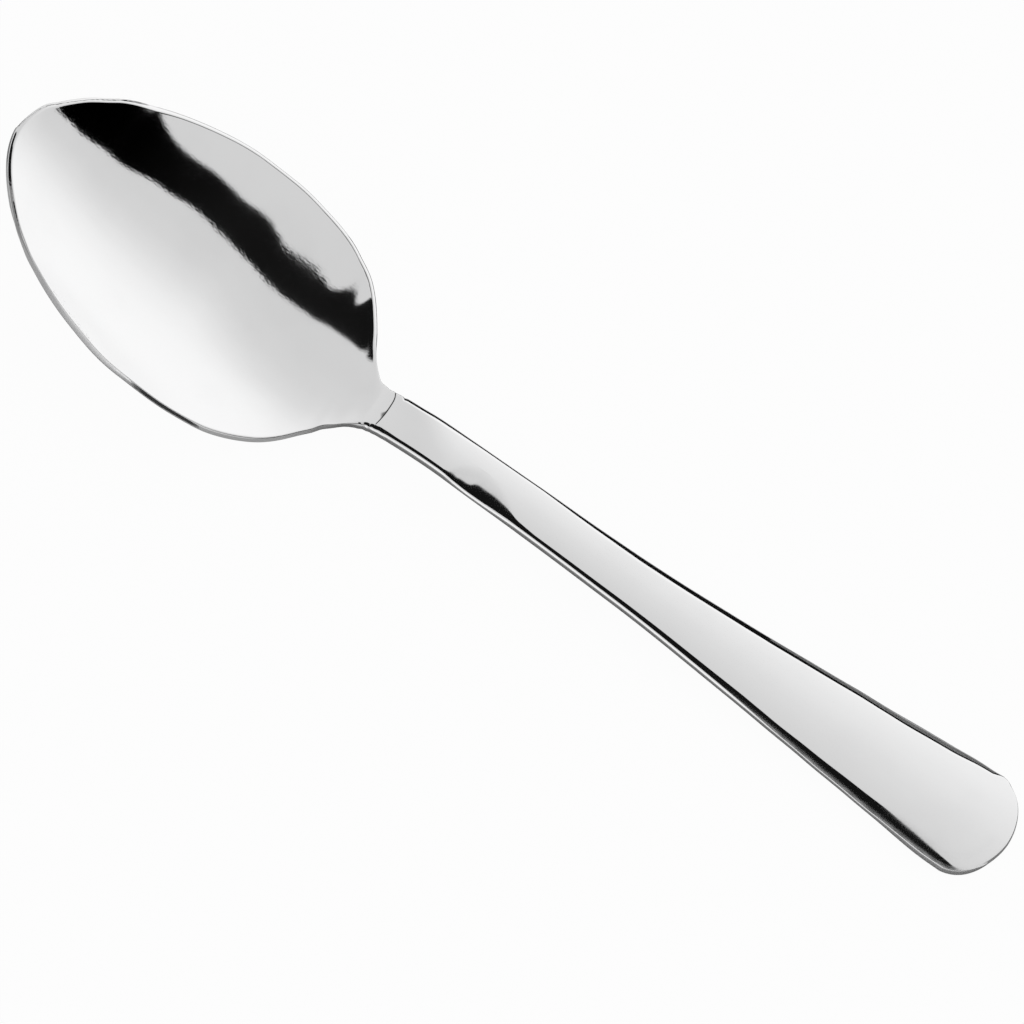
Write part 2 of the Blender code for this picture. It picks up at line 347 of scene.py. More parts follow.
# %% [markdown]
# ## The two skins of each piece
# Every place on the blank has a point on the upper skin and one on the lower skin. The bowl's sections
# are parabolas that hang from its edges, and its lower skin is the sheet's gauge away, measured square to
# the upper one. The handle is crowned above and flat below. A subdivided cage could be pulled into this
# form, but formulas give the mirror exact slopes. The ends of the seam bow towards the bowl, and it is
# polished shut at its near end. It is a groove and not a slot: the back of the bowl runs on below it.

# %% The seam
SEAM_SHIFT = -0.00052  # the middle of the seam, from where it is drawn
NEAR_BOW, FAR_BOW = 0.00045, 0.0011  # how far its ends bow back towards the bowl
BOW_MOST = 1.2  # limit of the bow, just outside the neck's drawn width
SEAM_LEFT = 0.00002  # what is left of the gap where it is shut
SEAM_OPEN, SEAM_OPEN_FADE = 0.0034, 0.0008  # from the middle to where it is shut


def seam_line(y):
    across = np.minimum((2 * y / NECK_WIDTH) ** 2, BOW_MOST)
    return SEAM_AT + SEAM_SHIFT - np.where(y < 0, NEAR_BOW * across, FAR_BOW * across**2)


def seam_open(y):
    return 1 - smooth_rise((-y - SEAM_OPEN) / SEAM_OPEN_FADE)


def seam_shut(y):
    """How far each side of the seam moves to close it."""
    return (SEAM_GAP - SEAM_LEFT) / 2 * (1 - seam_open(y))


print("seam", SEAM_GAP * 1000, "mm wide")

# %% Sections of the bowl
SHORT_STEP = 0.00005
TINY = 1e-9  # keeps a division from a zero
NEAR_EASE, FAR_EASE = 0.14, 0.1  # the sections are a little flatter than parabolas at the edges
EASE_FROM, EASE_RUN = 0.0715, 0.0040  # the hollow leaves the edges flat before the neck
BOWL_GAUGE = 0.0013
TIP_GAUGE, TIP_THINNED = 0.0007, 0.022  # the tip is thinned
NECK_THICKNESS = 0.0023
HEEL_TONGUE, TONGUE_FADE = 0.024, 0.014


def share_across(y, half):
    return np.where(half > 0, np.minimum(np.abs(y) / np.maximum(half, TINY), 1.0), 1.0)


def bowl_face(x, y):
    across = share_across(y, bowl_half_width(x, y)) ** 2
    ease = np.where(y < 0, NEAR_EASE, FAR_EASE)
    ease = ease + (1 - ease) * smooth_rise((x - EASE_FROM) / EASE_RUN)
    height = edge_height(x) - hollow_depth(x) * (1 - across) * (1 - ease * across)
    return np.stack([x, y, height], axis=-1)


def bowl_normal(x, y):
    """Normal of the bowl's inside, from two short steps towards its middle."""
    here = bowl_face(x, y)
    along = bowl_face(x + np.where(x < BOWL_WIDEST, SHORT_STEP, -SHORT_STEP), y) - here
    inward = bowl_face(x, y - np.where(y < 0, -SHORT_STEP, SHORT_STEP)) - here
    normal = np.cross(along, inward)
    normal *= np.where(normal[:, 2:] < 0, -1, 1) / np.linalg.norm(normal, axis=1, keepdims=True)
    return normal


def bowl_gauge(x, y):
    """Sheet gauge, with the tongue behind the heel that thickens it to the neck."""
    along = smooth_rise((x - SEAM_AT + HEEL_TONGUE) / HEEL_TONGUE)
    aside = 1 - smooth_rise((np.abs(y) - NECK_WIDTH / 2) / TONGUE_FADE)
    thinned = (BOWL_GAUGE - TIP_GAUGE) * (1 - smooth_rise(x / TIP_THINNED))
    return BOWL_GAUGE - thinned + (NECK_THICKNESS - BOWL_GAUGE) * along * aside


print("sheet of", BOWL_GAUGE * 1000, "mm")

# %% [markdown]
# The rim of the bowl is ground to a narrow flat land that leans outwards. The near side has been worn:
# there the land is narrow, and how rough the grinding is changes along it. Before the neck the land gives
# way to the bevel of the handle, so that the edges run on across the seam.

# %% Skins of the bowl
FAR_LAND_AT = (0.008, 0.022, 0.042, 0.058)
FAR_LAND = (0.00078, 0.00045, 0.00034, 0.00043)  # width of the rim's ground land, along the sheet
NEAR_LAND_AT = (0.007, 0.014, 0.018, 0.050, 0.055, 0.062, 0.067)
NEAR_LAND = (0.00056, 0.00022, 0.00005, 0.00005, 0.00022, 0.0002, 0.00005)  # worn away on the near side
NEAR_TILT, FAR_TILT = math.radians(28), math.radians(19)  # from the plane of the rim, outwards
TILT_CHANGE = 0.003  # either side of the tip
LAND_SOFTNESS = 0.0002
LAND_ROLL = 0.00013
ROLL_FROM, ROLL_RUN = 0.073, 0.007  # the roll grows to that of the handle before the neck
LAND_END, LAND_FADE = 0.066, 0.010  # where the land gives way to the neck's bevel
UNDER_ROLL_AT = (0.030, 0.040, 0.050, 0.060)
UNDER_ROLL = (0.0003, 0.0006, 0.0006, 0.0003)  # the rim is rolled under most where it is widest
SEAM_ROLL = 0.00008
SEAM_CLOSING = 0.003  # the bowl's back runs on under the seam over this length
NEAR_ROUGH_AT = (0.006, 0.014, 0.019, 0.036, 0.042, 0.056, 0.064)
NEAR_ROUGH = (0.1, 0.3, 1.0, 1.0, 0.25, 0.25, 0.8)  # how far the near rim is ground
FAR_ROUGH = 0.3
RIM_REACH = 1.5  # that roughness ends so many radii of the rim's roll from the outline


def rim_land(x, y, lean, on_sheet):
    """How far the ground land has fallen. The two sides meet smoothly over the tip."""
    far_share = smooth_rise((y + TILT_CHANGE) / (2 * TILT_CHANGE))
    near_width = np.interp(x, NEAR_LAND_AT, NEAR_LAND)
    width = near_width + (np.interp(x, FAR_LAND_AT, FAR_LAND) - near_width) * far_share
    tilt = NEAR_TILT + (FAR_TILT - NEAR_TILT) * far_share
    return np.tan(tilt + lean) * eased(width - on_sheet, LAND_SOFTNESS)


def bowl_skins(x, y, distance):
    """Upper skin, lower skin, and how far each place is ground."""
    normal = bowl_normal(x, y)
    face = bowl_face(x, y)
    on_sheet = distance / normal[:, 2]
    on_rim = 1 - smooth_rise((x - LAND_END) / LAND_FADE)
    land = rim_land(x, y, np.arccos(normal[:, 2]), on_sheet)
    worked = on_rim * land + (1 - on_rim) * bevel_drop(x, y, distance)
    rolled = LAND_ROLL + (EDGE_ROLL - LAND_ROLL) * smooth_rise((x - ROLL_FROM) / ROLL_RUN)
    to_seam = seam_line(y) - SEAM_GAP / 2 - x
    above = worked + roll_drop(on_sheet, rolled) + roll_drop(to_seam, SEAM_ROLL) * seam_open(y)
    under_rim = np.interp(x, UNDER_ROLL_AT, UNDER_ROLL)
    under_roll = under_rim + (BACK_ROLL - under_rim) * (1 - on_rim)
    below = bowl_gauge(x, y) - roll_drop(on_sheet, under_roll)
    lower = face - below[:, None] * normal
    lower[:, 0] += (SEAM_GAP - SEAM_LEFT - 2 * seam_shut(y)) * smooth_rise(1 - to_seam / SEAM_CLOSING)
    rough = np.where(y < 0, np.interp(x, NEAR_ROUGH_AT, NEAR_ROUGH), FAR_ROUGH)
    ground = on_rim * rough * smooth_rise(RIM_REACH - on_sheet / LAND_ROLL)
    return face - above[:, None] * normal, lower, ground


print("land", FAR_LAND[0] * 1000, "mm wide at the tip")

# %% Skins of the handle
END_THICKNESS = 0.0019
EDGE_BOW = 0.0012  # how far the bow of the seam moves the ends of the long edges back
EDGE_BOW_FROM, EDGE_BOW_RUN = 0.0805, 0.0047
HANDLE_GROUND, EDGE_REACH = 0.25, 1.3  # roughness of the rolled edge, and its reach in radii of the roll
BEVEL_GROUND = 0.4  # a wide bevel is left a little rough along its inner line
INNER_SHARE = 0.45  # half the width of that strip, as a share of the bevel
NEAR_WORN, WORN_WIDTH = 0.7, 0.0013  # the near edge is worn dull towards the end, over this width
ROUGH_FROM, ROUGH_RUN = 0.140, 0.030


def handle_face(x, y):
    drawn = flare_half_width(x)
    crown = crown_grown(x) * CROWN_SLOPE * drawn / 2 * (1 - (y / drawn) ** 2)
    bow = EDGE_BOW * (1 - smooth_rise((x - EDGE_BOW_FROM) / EDGE_BOW_RUN))
    inside = drawn + side_more(x + bow, y) - np.abs(y)
    return np.stack([x, y, edge_height(x) + crown - bevel_drop(x, y, inside)], axis=-1)


def handle_thickness(x):
    return NECK_THICKNESS + (END_THICKNESS - NECK_THICKNESS) * (x - SEAM_AT) / (LENGTH - SEAM_AT)


def handle_ground(x, y, distance):
    """Rough on the rolled edge, a little on a wide bevel, and most on the near edge towards the end."""
    width = bevel_width(x, y)
    strip = INNER_SHARE * np.maximum(width, BEVEL_LEAST)
    inner_line = np.exp(-(((distance - EDGE_ROLL - width) / strip) ** 2))
    wide = soft_share(x) * smooth_rise((width - WIDE_BEVEL) / WIDE_BEVEL)
    to_end = np.where(y < 0, smooth_rise((x - ROUGH_FROM) / ROUGH_RUN), 0.0)
    on_edge = smooth_rise(EDGE_REACH - distance / EDGE_ROLL)
    worn = NEAR_WORN * to_end * smooth_rise(1 - distance / WORN_WIDTH)
    return BEVEL_GROUND * wide * inner_line + np.maximum(HANDLE_GROUND * on_edge, worn)


def handle_skins(x, y, distance):
    """Upper skin, lower skin, and how far each place is ground."""
    slope = (edge_height(x + SHORT_STEP) - edge_height(x - SHORT_STEP)) / (2 * SHORT_STEP)
    normal = np.stack([-slope, np.zeros_like(x), np.ones_like(x)], axis=-1)
    normal /= np.linalg.norm(normal, axis=1, keepdims=True)
    to_seam = x - seam_line(y) - SEAM_GAP / 2
    above = roll_drop(distance, edge_roll(x, y)) + chamfer_drop(x, y, distance)
    above = above + roll_drop(to_seam, SEAM_ROLL) * seam_open(y)
    edge = np.stack([x, y, edge_height(x)], axis=-1)
    below = handle_thickness(x) - roll_drop(distance, back_roll(x))
    ground = handle_ground(x, y, distance)
    return handle_face(x, y) - above[:, None] * normal, edge - below[:, None] * normal, ground


print("handle", END_THICKNESS * 1000, "mm thick at its end")

# %% [markdown]
# ## A fine blank
# A press starts with a flat blank. Here it is a grid whose rows and columns close up towards the outline,
# because the rolled edge is less than half a millimetre round and needs as many rows as the bowl's floor.
# The first row of the bowl follows its tip and the last row of the handle its rounded end, so no grid
# corner shows in the outline.

# %% Plans of the two blanks
CROWDING = 0.97
TIP_ARC = 0.3 * BOWL_WIDEST  # stretch of the tip that the bowl's first row follows
END_ARC = 0.55 * END_ROUND  # stretch of the end that the handle's last row follows
TIP_SKEW, SKEW_AFTER = 0.068, 0.020  # the tip is worn back on its near side
END_SKEW = 0.060  # the end is not quite square to the handle
SKEW_BEFORE = 0.018  # which starts this far before the end
SEAM_REACH = 0.006  # the seam's bow bends the rows over this length
END_BULGE = 8  # higher keeps the handle's rows straight until nearer its end
FACE_SHARE = 0.5  # columns of the handle on its face
BEVEL_SHARE = 0.7  # and up to the outer line of its bevel


def closed_up(t):
    """Even steps from 0 to 1, made short at both ends."""
    return t - CROWDING * np.sin(math.tau * t) / math.tau


def bowl_plan(row, column):
    along = closed_up(row)
    across = 2 * closed_up((column + 1) / 2) - 1
    arc_x = TIP_ARC * np.abs(across) ** (1 / TIP_FULLNESS)
    arc_y = np.copysign(bowl_half_width(arc_x, across), across)
    side = TIP_ARC + (SEAM_AT - SEAM_GAP / 2 - TIP_ARC) * along
    half = bowl_half_width(side, across)
    y = across * half + (1 - along) * (arc_y - across * bowl_half_width(TIP_ARC, across))
    bow = (seam_line(y) + seam_shut(y) - SEAM_AT) * smooth_rise(1 - (SEAM_AT - side) / SEAM_REACH)
    x = side + (1 - along) * (arc_x - TIP_ARC)
    skew = TIP_SKEW * y * (1 - smooth_rise(x / SKEW_AFTER))
    return x + bow - skew, y


def handle_plan(row, column):
    along = closed_up(row)
    seam = SEAM_AT + SEAM_GAP / 2
    corner = LENGTH - END_ARC
    side = seam + (corner - seam) * along
    half = handle_half_width(side, column)
    rolled = half - EDGE_ROLL
    face = rolled - np.maximum(bevel_width(side, column), BEVEL_LEAST)
    out = np.abs(column)
    quarter = np.sin(math.pi / 2 * np.clip((out - BEVEL_SHARE) / (1 - BEVEL_SHARE), 0.0, 1.0))
    on_bevel = np.clip((out - FACE_SHARE) / (BEVEL_SHARE - FACE_SHARE), 0.0, 1.0)
    y = face * np.minimum(out / FACE_SHARE, 1.0) + (rolled - face) * on_bevel + EDGE_ROLL * quarter
    arc_x = LENGTH - END_ARC * out ** (1 / END_FULLNESS)
    bulge = along**END_BULGE
    y = np.copysign(y + bulge * (handle_half_width(arc_x, column) - y), column)
    x = side + bulge * (arc_x - corner)
    bow = (seam_line(y) - seam_shut(y) - SEAM_AT) * smooth_rise(1 - (x - SEAM_AT) / SEAM_REACH)
    skew = END_SKEW * y * smooth_rise((x - LENGTH + SKEW_BEFORE) / SKEW_BEFORE)
    return x + bow + skew, y


print("the bowl's blank ends at", round(float(bowl_plan(1.0, 0.0)[0]) * 1000, 2), "mm")

# %% [markdown]
# How far a place lies from the outline decides how far the rolled edge has fallen there. The outline is
# sampled finely, a search tree finds the nearest sample, and the foot of the square on its two neighbours
# gives an exact distance. The run along the outline is kept too: the marks of the belt follow it.

# %% Distance from the outline
OUTLINE_STEPS = 3000
SAME_PLACE = 1e-7  # samples closer than this are one


def outline_of(plan, end_row):
    """The long edges and the end row of a blank, as one run of points from seam to seam."""
    steps = np.linspace(0, 1, OUTLINE_STEPS)
    to_end = np.abs(1 - end_row - steps)
    rows = np.concatenate([to_end, np.full(OUTLINE_STEPS, float(end_row)), to_end[::-1]])
    ones = np.ones(OUTLINE_STEPS)
    columns = np.concatenate([ones, np.linspace(1, -1, OUTLINE_STEPS), -ones])
    points = np.stack(plan(rows, columns), axis=-1)
    fresh = np.linalg.norm(np.diff(points, axis=0, prepend=points[:1] - 1), axis=1) > SAME_PLACE
    return points[fresh]


def measure_from_outline(points, outline):
    """Distance to the outline and run along it, for every point of a plan."""
    tree = KDTree(len(outline))
    for index, (x, y) in enumerate(outline):
        tree.insert((x, y, 0), index)
    tree.balance()
    nearest = np.array([tree.find((x, y, 0))[1] for x, y in points])
    run = np.concatenate([[0], np.cumsum(np.linalg.norm(np.diff(outline, axis=0), axis=1))])
    best = np.full(len(points), np.inf)
    best_run = np.zeros(len(points))
    for step in (-1, 0):
        start = np.clip(nearest + step, 0, len(outline) - 2)
        chord = outline[start + 1] - outline[start]
        size = np.sum(chord**2, axis=1)
        share = np.clip(np.sum((points - outline[start]) * chord, axis=1) / size, 0, 1)
        away = np.linalg.norm(points - outline[start] - share[:, None] * chord, axis=1)
        closer = away < best
        best = np.where(closer, away, best)
        best_run = np.where(closer, run[start] + share * np.sqrt(size), best_run)
    return best, best_run


print("outline of the bowl", len(outline_of(bowl_plan, 0)), "points")

# %% [markdown]
# ## Press the pieces
# The grid is made once and extruded in place, which gives two skins with a strip between them all round.
# Then each vertex goes to its place on the upper or the lower skin, and the spoon is laid down on the
# belly of the bowl and the end of the handle, as it lies in the imported model. A solidify modifier could
# thicken one skin, but both would have the same form, and here they differ. Three marks are kept on the
# vertices: how far they are ground and the run along the edge, for the finish, and whether they lie in
# the seam, for the painted shade that darkens it.

# %% Marks for the finish, and the painted shade of the seam
SEAM_SHADE_REACH = 0.00013  # the painted shade of the seam reaches so far beyond its gap
SEAM_SHADE_AT = (-0.0034, -0.0022, -0.0014, -0.0004, 0.0008, 0.0030, 0.0040)
SEAM_SHADE_TONE = (0.35, 0.5, 0.85, 0.8, 0.65, 0.35, 0.6)  # how dark the painted shade of the seam is along its length
SHADE_WIDENING, WIDENING_AT, WIDENING_SIZE = 0.0007, -0.0014, 0.0006  # where the painted shade of the seam is widened on the bowl's side


def note_on_points(mesh, name, values):
    mesh.attributes.new(name, "FLOAT", "POINT").data.foreach_set("value", values.astype(np.float32))


def note_finish_and_seam_shade(mesh, x, y, ground, run):
    note_on_points(mesh, "ground", ground)
    note_on_points(mesh, "run", run)
    # The seam mark is painted shade: it darkens the groove, more at some places along it, and wider on the
    # bowl's side near the middle.
    widened = np.exp(-(((y - WIDENING_AT) / WIDENING_SIZE) ** 2)) * (x < seam_line(y))
    shade_reach = SEAM_SHADE_REACH + SHADE_WIDENING * widened
    in_seam = smooth_rise((SEAM_GAP / 2 + shade_reach - np.abs(x - seam_line(y))) / shade_reach)
    seam_shade = np.interp(y, SEAM_SHADE_AT, SEAM_SHADE_TONE)
    note_on_points(mesh, "seam", in_seam * seam_open(y) * seam_shade)


print("the seam is darkest at", SEAM_SHADE_AT[np.argmax(SEAM_SHADE_TONE)] * 1000, "mm from the middle")

# %% Press a blank
LAID_TILT = math.radians(6.838806)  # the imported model's own resting pose
LAID_AT = Vector((-0.1047631, 0, 0.0142817))
SHARP_ANGLE = math.radians(50)
ON_OUTLINE = 1e-6  # how near a grid line is to the outline to count as on it


def linked_object(name, bm):
    mesh = bpy.data.meshes.new(name)
    bm.to_mesh(mesh)
    bm.free()
    made = bpy.data.objects.new(name, mesh)
    bpy.context.collection.objects.link(made)
    return made


def pressed_piece(name, rows, columns, plan, end_row, skins):
    bm = bmesh.new()
    bmesh.ops.create_grid(bm, x_segments=rows, y_segments=columns, size=1.0)
    copied = bmesh.ops.extrude_face_region(bm, geom=bm.faces[:])["geom"]
    bm.verts.index_update()
    upper = np.zeros((len(bm.verts), 1), dtype=bool)
    upper[[item.index for item in copied if isinstance(item, bmesh.types.BMVert)]] = True
    flat = np.array([vert.co.to_tuple() for vert in bm.verts])
    row, column = (flat[:, 0] + 1) / 2, flat[:, 1]
    x, y = plan(row, column)
    distance, run = measure_from_outline(np.stack([x, y], axis=-1), outline_of(plan, end_row))
    distance[(np.abs(column) > 1 - ON_OUTLINE) | (np.abs(row - end_row) < ON_OUTLINE)] = 0.0
    above, below, ground = skins(x, y, distance)
    turn = Matrix.Rotation(LAID_TILT, 3, "Y")
    points = np.where(upper, above, below) @ np.array(turn).T + np.array(LAID_AT)
    for vert, point in zip(bm.verts, points):
        vert.co = point
    bmesh.ops.recalc_face_normals(bm, faces=bm.faces[:])
    if bm.calc_volume(signed=True) < 0:
        bmesh.ops.reverse_faces(bm, faces=bm.faces[:])
    piece = linked_object(name, bm)
    note_finish_and_seam_shade(piece.data, x, y, ground, run)
    piece.data.shade_smooth()
    piece.data.set_sharp_from_angle(angle=SHARP_ANGLE)
    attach(piece, "root")
    print(name, len(piece.data.polygons), "faces")
    return piece


print("the press lays the spoon down by", round(math.degrees(LAID_TILT), 2), "degrees")

# %% The bowl
BOWL_ROWS, BOWL_COLUMNS = 150, 128

bowl = pressed_piece("pressed_bowl", BOWL_ROWS, BOWL_COLUMNS, bowl_plan, 0, bowl_skins)
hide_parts("bowl")

# %% The handle
HANDLE_ROWS, HANDLE_COLUMNS = 220, 96

handle = pressed_piece("flared_handle", HANDLE_ROWS, HANDLE_COLUMNS, handle_plan, 1, handle_skins)
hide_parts("handle")

# %% [markdown]
# ## Sums for shaders
# A shader is a graph of small nodes, and a graph is hard to read as code. One small class wraps a socket,
# so that a line such as `1 - mask` adds the Math node by itself.

# %% A socket that can do sums
class Wire:
    """A node tree, or one output socket in it; operators add Math nodes."""

    def __init__(self, tree, socket=None):
        self.tree = tree
        self.socket = socket

    def node(self, kind, settings=None, inputs=None, output=0):
        """Add any node: its type, its settings, and the values or links of its sockets."""
        node = self.tree.nodes.new(kind)
        for name, value in (settings or {}).items():
            if name == "stops":
                set_stops(node.color_ramp, value)
            else:
                setattr(node, name, value)
        for name, value in (inputs or {}).items():
            if isinstance(value, Wire):
                self.tree.links.new(value.socket, node.inputs[name])
            else:
                node.inputs[name].default_value = value
        return Wire(self.tree, node.outputs[output] if node.outputs else None)

    def math(self, operation, *values):
        return self.node("ShaderNodeMath", {"operation": operation}, dict(enumerate(values)))

    def __add__(self, other):
        return self.math("ADD", self, other)

    __radd__ = __add__

    def __sub__(self, other):
        return self.math("SUBTRACT", self, other)

    def __rsub__(self, other):
        return self.math("SUBTRACT", other, self)

    def __mul__(self, other):
        return self.math("MULTIPLY", self, other)

    __rmul__ = __mul__

    def __truediv__(self, other):
        return self.math("DIVIDE", self, other)

    def rise(self, start, end):
        """0 before start, 1 after end, smooth between them."""
        inputs = {"Value": self, "From Min": start, "From Max": end}
        return self.node("ShaderNodeMapRange", {"interpolation_type": "SMOOTHSTEP"}, inputs)


def set_stops(ramp, stops):
    """Stops of a grey ramp, given as pairs of place and level."""
    while len(ramp.elements) < len(stops):
        ramp.elements.new(1.0)
    for element, (place, level) in zip(ramp.elements, stops):
        element.position = place
        element.color = (level, level, level, 1)


def emptied(owner):
    """A wire for the node tree of a new material or world, with nothing in it yet."""
    owner.use_nodes = True
    owner.node_tree.nodes.clear()
    return Wire(owner.node_tree)


def mixed(wire, factor, first, second):
    """Two colours, mixed; the Mix node takes them at sockets 6 and 7 and gives one at 2."""
    inputs = {"Factor": factor, 6: first, 7: second}
    return wire.node("ShaderNodeMix", {"data_type": "RGBA"}, inputs, output=2)


print("wires ready")

# %% [markdown]
# ## Polished steel
# Bright steel has almost no colour of its own: what is seen is what it mirrors. The life of it is in the
# small faults. The face is not quite flat, the last polish leaves fine hairs along the spoon, fingers and
# cloths leave cloudy places, and the belt leaves coarser streaks along the edges. The hairs are polished
# out at the far rim and from the neck on. A picture of scratches could be laid on instead, but noise that
# is measured in metres needs no unwrapping.

# %% Unevenness of the steel
WAVE_SCALE, WAVE_HEIGHT = 55.0, 0.000005
HAIR_SCALE, HAIR_HEIGHT = 2400.0, 0.000006
HAIR_STRETCH = (0.6, 1, 1)
FAR_POLISHED, FAR_HAIRLESS = (0.0145, 0.0175), 0.65  # where along Y, and the share of the hairs that goes
NECK_POLISHED, NECK_HAIRLESS = (-0.055, -0.040), 0.8  # and where along X
BELT_SCALE, BELT_HEIGHT = 1200.0, 0.000005
BELT_ALONG, BELT_ACROSS = 0.3, 0.004  # the streaks are drawn out along the edge


def mark_on_points(wire, name):
    return wire.node("ShaderNodeAttribute", {"attribute_name": name}, output="Fac")


def noise(wire, place, scale, detail):
    return wire.node("ShaderNodeTexNoise", None, {"Vector": place, "Scale": scale, "Detail": detail})


def hairs_left(wire, place):
    far_side = wire.node("ShaderNodeSeparateXYZ", None, {0: place}, output="Y").rise(*FAR_POLISHED)
    neck_side = wire.node("ShaderNodeSeparateXYZ", None, {0: place}, output="X").rise(*NECK_POLISHED)
    return 1 - wire.math("MAXIMUM", far_side * FAR_HAIRLESS, neck_side * NECK_HAIRLESS)


def belt_streaks(wire, run, ground):
    on_belt = wire.node("ShaderNodeCombineXYZ", None, {"X": run * BELT_ALONG, "Y": ground * BELT_ACROSS})
    inputs = {"Vector": on_belt, "Scale": BELT_SCALE}
    return wire.node("ShaderNodeTexNoise", {"noise_dimensions": "2D"}, inputs)


print("hairs", HAIR_HEIGHT * 1e6, "micrometres high at most")

# %% The steel
STEEL = (0.91, 0.91, 0.912, 1)
STEEL_DULL = (0.82, 0.82, 0.825, 1)
# painted shade for the seam's groove
SEAM_PAINTED_SHADE = (0.02, 0.02, 0.02, 1)
POLISH = 0.04  # roughness of the bright faces
CLOUDS = 0.025  # what the cloudy places add
CLOUD_SCALE, CLOUD_RANGE = 90.0, (0.45, 0.75)
BELT, BELT_LEAST = 0.3, 0.5  # what the belt marks add on the ground edges, and the least share of it
CLOUD_DULL, BELT_DULL = 0.2, 0.6  # how far each brings the colour to the dull one


def polished_steel():
    material = bpy.data.materials.new("polished_steel")
    wire = emptied(material)
    place = wire.node("ShaderNodeTexCoord", output="Object")
    laid = wire.node("ShaderNodeMapping", None, {"Vector": place, "Rotation": (0, -LAID_TILT, 0)})
    drawn = wire.node("ShaderNodeMapping", None, {"Vector": laid, "Scale": HAIR_STRETCH})
    ground = mark_on_points(wire, "ground")
    run = mark_on_points(wire, "run")
    seam = mark_on_points(wire, "seam")
    waves = noise(wire, laid, WAVE_SCALE, 1.0)
    clouds = noise(wire, laid, CLOUD_SCALE, 4.0)
    hairs = noise(wire, drawn, HAIR_SCALE, 3.0)
    hairy = hairs_left(wire, place)
    belt = belt_streaks(wire, run, ground)

    cloudy = clouds.rise(*CLOUD_RANGE)
    dull = mixed(wire, cloudy * CLOUD_DULL + ground * belt * BELT_DULL, STEEL, STEEL_DULL)
    # the seam mark mixes in the painted shade of the groove
    colour = mixed(wire, seam, dull, SEAM_PAINTED_SHADE)
    height = waves * WAVE_HEIGHT + hairs * hairy * HAIR_HEIGHT + ground * ground * belt * BELT_HEIGHT
    look = {
        "Base Color": colour,
        "Metallic": 1.0,
        "Normal": wire.node("ShaderNodeBump", None, {"Height": height, "Distance": 1.0, "Strength": 1.0}),
        "Roughness": POLISH + cloudy * CLOUDS + ground * (BELT_LEAST + belt) * BELT,
    }
    shader = wire.node("ShaderNodeBsdfPrincipled", None, look)
    wire.node("ShaderNodeOutputMaterial", None, {"Surface": shader})
    return material


steel = polished_steel()
bowl.data.materials.append(steel)
handle.data.materials.append(steel)
print("nodes in the steel", len(steel.node_tree.nodes))

# %% [markdown]
# ## The table
# The floor is plain and pale. To the camera it is white, as a lit table is, and it still takes a faint
# shadow where the spoon keeps the light off it. In the mirror of the steel it is a grey table with a
# painted shadow, darker close to the spoon, so the edges that look down at it turn grey as they do in the
# photograph. One plain white could not do both, so the floor asks which kind of ray is looking.

# %% The floor
FLOOR_SIZE = 6.0
FLOOR_DROP = 0.0001
FLOOR_WHITE = (0.95, 0.95, 0.95, 1)
# the mirrored table: a painted shadow close to the spoon, and plain grey further out
MIRRORED_PAINTED_SHADOW, MIRRORED_FAR = (0.36, 0.36, 0.36, 1), (0.66, 0.66, 0.66, 1)
PAINTED_SHADOW_FULL, PAINTED_SHADOW_GONE = 0.006, 0.018  # where the painted shadow is full and where it is gone, from the long axis
SHADOW_SHOWN = 0.04  # share of the real shadow that the camera sees


def white_floor():
    bm = bmesh.new()
    bmesh.ops.create_grid(bm, x_segments=1, y_segments=1, size=FLOOR_SIZE / 2)
    bmesh.ops.translate(bm, verts=bm.verts[:], vec=(0, 0, -FLOOR_DROP))
    floor = linked_object("floor", bm)
    material = bpy.data.materials.new("white_table")
    wire = emptied(material)
    matt = wire.node("ShaderNodeBsdfDiffuse", None, {"Color": FLOOR_WHITE})
    glow = wire.node("ShaderNodeEmission", None, {"Color": (1, 1, 1, 1), "Strength": 1.0})
    place = wire.node("ShaderNodeTexCoord", output="Object")
    aside = wire.math("ABSOLUTE", wire.node("ShaderNodeSeparateXYZ", None, {0: place}, output="Y"))
    # painted shadow: the table seen in the mirror is darker close to the spoon
    mirrored = mixed(wire, aside.rise(PAINTED_SHADOW_FULL, PAINTED_SHADOW_GONE), MIRRORED_PAINTED_SHADOW, MIRRORED_FAR)
    grey = wire.node("ShaderNodeBsdfDiffuse", None, {"Color": mirrored})
    camera_ray = wire.node("ShaderNodeLightPath", output="Is Camera Ray")
    glossy_ray = wire.node("ShaderNodeLightPath", output="Is Glossy Ray")
    table = wire.node("ShaderNodeMixShader", None, {0: glossy_ray, 1: matt, 2: grey})
    both = wire.node("ShaderNodeMixShader", None, {0: camera_ray * (1 - SHADOW_SHOWN), 1: table, 2: glow})
    wire.node("ShaderNodeOutputMaterial", None, {"Surface": both})
    floor.data.materials.append(material)


white_floor()
print("floor", FLOOR_SIZE, "m")

# %% [markdown]
# ## The light tent
# Shiny things are photographed inside a white tent, so that there is something clean to mirror. The tent
# is darkest overhead and brighter towards its sides, and over the tip of the spoon its levels start
# further away. Low on the near side, and beside the tip, it is darker still. The lens looks in through a
# dark slit, and that slit is the black band in the bowl and the black line along the handle. It could be
# built from cloth and cards. As a world shader it is only a function of direction, so it is the same from
# every place on the spoon. A direction is given by two angles from straight up: along the spoon, and away
# from the camera. The levels and the lines of the slit were read from the reflections in the photograph,
# traced back to where the steel looks, and then adjusted in trial renders.

